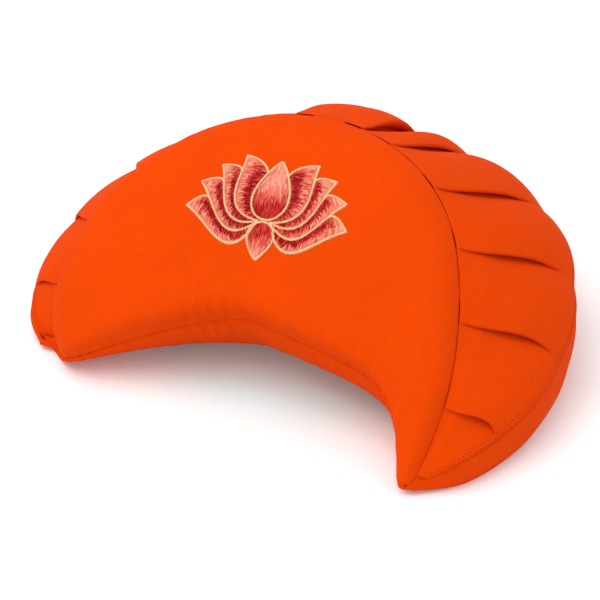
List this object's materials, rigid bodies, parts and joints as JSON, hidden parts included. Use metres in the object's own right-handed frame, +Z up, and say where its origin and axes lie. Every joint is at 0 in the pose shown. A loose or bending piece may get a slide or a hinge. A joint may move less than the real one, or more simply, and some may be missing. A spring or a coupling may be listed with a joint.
{
  "type": "crescent meditation cushion",
  "caption": "Filled crescent cushion with a tilted crowned face, a knife-pleated band round the convex side and a raised embroidered lotus on the face.",
  "frame": {"origin": "on the ground under the middle of the cushion's bounding box", "axes": "+Z up from the surface it rests on; X runs along the crescent from the left horn to the right horn; the bay between the horns opens towards -Y"},
  "size_m": [0.4454, 0.3552, 0.1813],
  "materials": {
    "orange_cotton": "plain woven cotton, matt",
    "lotus_thread": "satin-stitched embroidery thread, soft sheen",
    "cream_thread": "satin-stitched outline thread, soft sheen"
  },
  "bodies": {
    "root": {"cushion_body": "orange_cotton", "pleated_band": "orange_cotton", "lap_strip": "orange_cotton", "lotus_bud": "lotus_thread", "lotus_drop_petal": "lotus_thread", "lotus_right_petal_1": "lotus_thread", "lotus_left_petal_1": "lotus_thread", "lotus_right_petal_2": "lotus_thread", "lotus_left_petal_2": "lotus_thread", "lotus_right_petal_3": "lotus_thread", "lotus_left_petal_3": "lotus_thread", "lotus_right_petal_4": "lotus_thread", "lotus_left_petal_4": "lotus_thread"}
  },
  "joints": []
}
